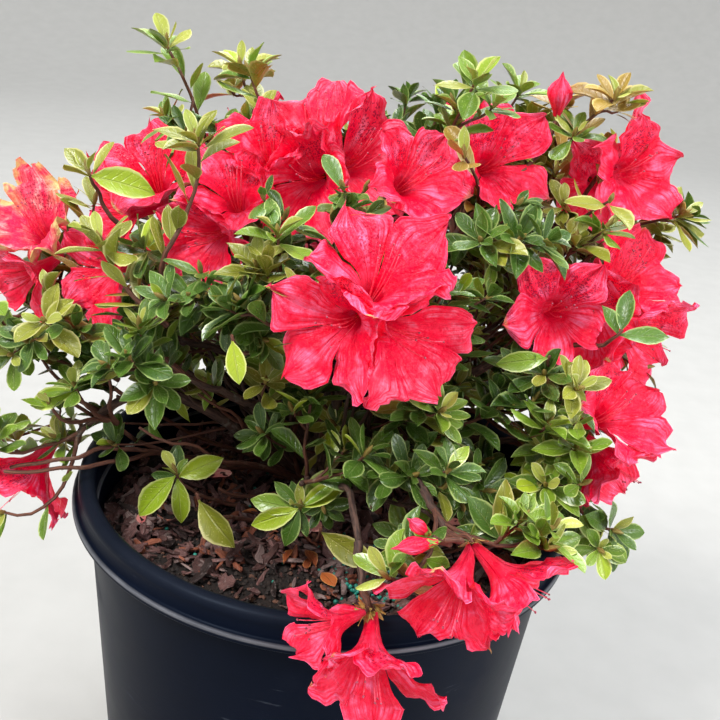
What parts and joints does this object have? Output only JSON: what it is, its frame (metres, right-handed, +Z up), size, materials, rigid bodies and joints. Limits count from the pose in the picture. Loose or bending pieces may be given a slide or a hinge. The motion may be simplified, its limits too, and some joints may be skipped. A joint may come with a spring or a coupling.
{
  "type": "potted azalea shrub",
  "caption": "Low spreading evergreen shrub in flower: a short trunk and forking boughs carry leafy masses with funnel blooms, in a round tapered nursery pot of bark compost.",
  "frame": {"origin": "centre of the pot's flat underside", "axes": "+Z up, -Y towards the side the picture shows as the front, +X towards the picture's right"},
  "size_m": [0.4422, 0.4036, 0.499],
  "materials": {
    "pot": "satin black, scuffed",
    "compost": "rough bark chips",
    "bark": "rough",
    "foliage": "leaves and petals"
  },
  "bodies": {
    "root": {"pot": "pot", "compost": "compost", "trunk": "bark", "bough_crown_top": "bark", "bough_left_high": "bark", "bough_left_low": "bark", "bough_front_centre": "bark", "bough_right_mid": "bark", "bough_back_centre": "bark", "bough_upper_left": "bark", "bough_upper_right": "bark", "bough_right_high": "bark", "bough_right_low": "bark", "bough_centre_right": "bark", "bough_left_far": "bark", "bough_left_mid": "bark", "bough_front_low": "bark", "bough_front_hanging": "bark", "bough_front_right_low": "bark", "bough_back_left_high": "bark", "bough_back_right_high": "bark", "bough_back_left_low": "bark", "bough_back_right_low": "bark", "bough_back_low": "bark", "mass_crown_top": "foliage", "mass_left_high": "foliage", "mass_left_low": "foliage", "mass_front_centre": "foliage", "mass_right_mid": "foliage", "mass_back_centre": "foliage", "mass_upper_left": "foliage", "mass_upper_right": "foliage", "mass_right_high": "foliage", "mass_right_low": "foliage", "mass_centre_right": "foliage", "mass_left_far": "foliage", "mass_left_mid": "foliage", "mass_front_low": "foliage", "mass_front_hanging": "foliage", "mass_front_right_low": "foliage", "mass_back_left_high": "foliage", "mass_back_right_high": "foliage", "mass_back_left_low": "foliage", "mass_back_right_low": "foliage", "mass_back_low": "foliage"}
  },
  "joints": []
}
